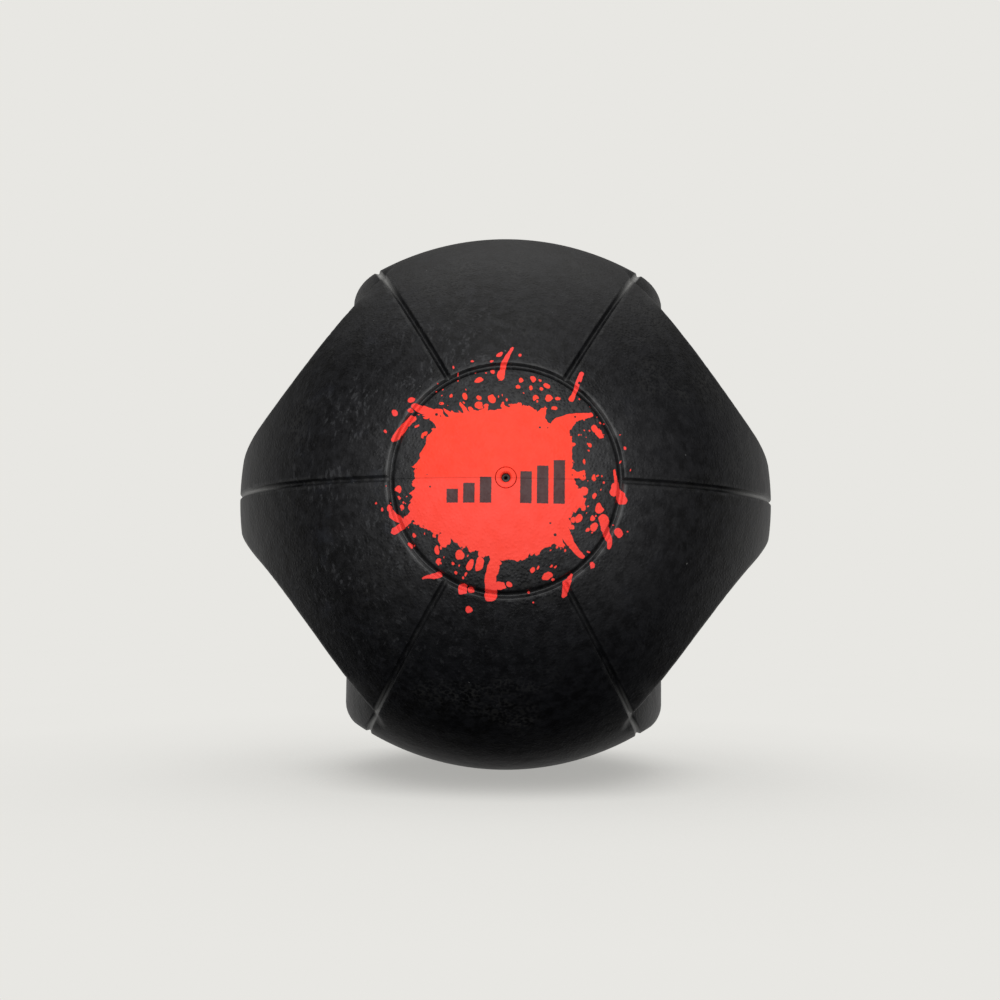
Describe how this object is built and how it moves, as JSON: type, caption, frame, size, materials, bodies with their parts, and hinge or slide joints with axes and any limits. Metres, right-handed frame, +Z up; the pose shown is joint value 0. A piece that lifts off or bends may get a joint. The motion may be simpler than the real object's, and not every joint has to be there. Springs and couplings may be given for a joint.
{
  "type": "double-grip medicine ball",
  "caption": "Heavy black rubber exercise ball with a hand opening through each side that leaves a grip bar, a grooved panelled cover and an air valve at the middle of the front disc.",
  "frame": {"origin": "centre of the ball", "axes": "+X towards the right grip, +Z up along the hand openings, -Y towards the front disc with the valve"},
  "size_m": [0.2774, 0.2796, 0.2774],
  "materials": {
    "cover_rubber": "moulded, finely pebbled, matt",
    "body_rubber": "matt",
    "cord_rubber": "matt",
    "butyl": "satin",
    "nylon_thread": "wound thread",
    "valve_rubber": "satin",
    "valve_plug_rubber": "soft, satin"
  },
  "bodies": {
    "root": {"front_disc": "cover_rubber", "rear_disc": "cover_rubber", "top_panel": "cover_rubber", "upper_left_panel": "cover_rubber", "lower_left_panel": "cover_rubber", "bottom_panel": "cover_rubber", "lower_right_panel": "cover_rubber", "upper_right_panel": "cover_rubber", "upper_left_opening_liner": "cover_rubber", "lower_left_opening_liner": "cover_rubber", "upper_right_opening_liner": "cover_rubber", "lower_right_opening_liner": "cover_rubber", "upper_body": "body_rubber", "lower_body": "body_rubber", "left_grip_core": "cord_rubber", "right_grip_core": "cord_rubber", "bladder": "butyl", "winding": "nylon_thread", "valve_body": "valve_rubber", "valve_core": "valve_plug_rubber"}
  },
  "joints": []
}
